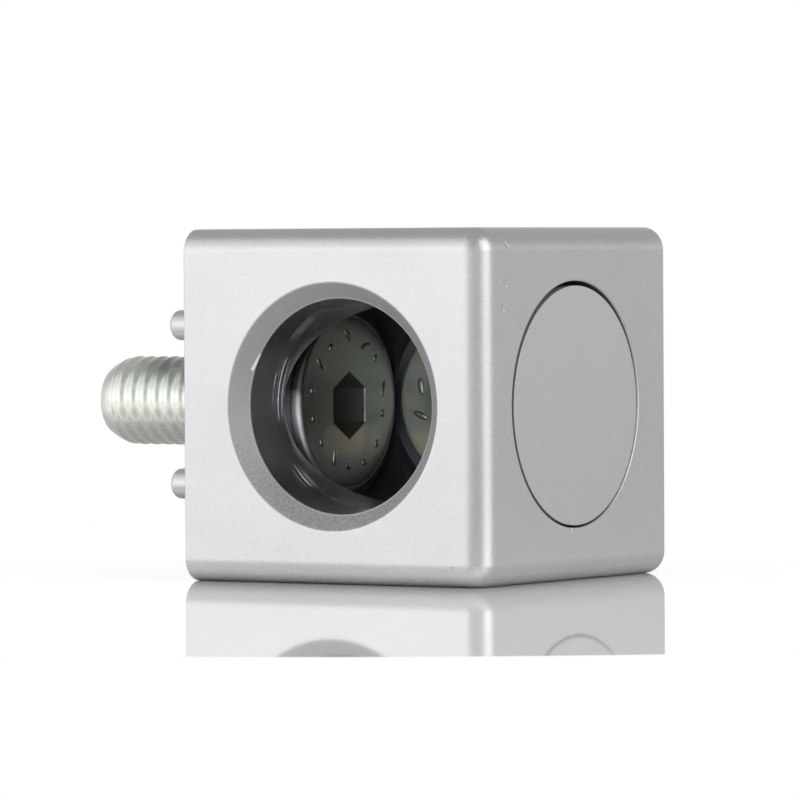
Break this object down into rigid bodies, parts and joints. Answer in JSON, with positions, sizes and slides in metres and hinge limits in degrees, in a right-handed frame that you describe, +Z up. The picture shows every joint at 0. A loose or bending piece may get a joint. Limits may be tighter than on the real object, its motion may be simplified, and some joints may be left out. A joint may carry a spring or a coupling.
{
  "type": "two way cube corner connector",
  "caption": "Cube corner connector for aluminium profile: crossing access bores, countersunk screws standing out of adjacent faces, anti-turn pins and a round cover cap.",
  "frame": {"origin": "centre of the cube's bottom face", "axes": "+Z up, -X along the left-hand stud, +Y along the back stud, -Y out of the open access bore, +X out of the capped bore"},
  "size_m": [0.0469, 0.0469, 0.03],
  "materials": {
    "cast_aluminium": "die-cast, fine blasted and clear coated, matt silver",
    "zinc_plated_steel": "cold-forged steel, zinc plated, satin",
    "cap_plastic": "moulded plastic in aluminium grey, fine matt texture"
  },
  "bodies": {
    "root": {"connector_body": "cast_aluminium", "left_screw": "zinc_plated_steel", "back_screw": "zinc_plated_steel", "cover_cap": "cap_plastic"}
  },
  "joints": []
}
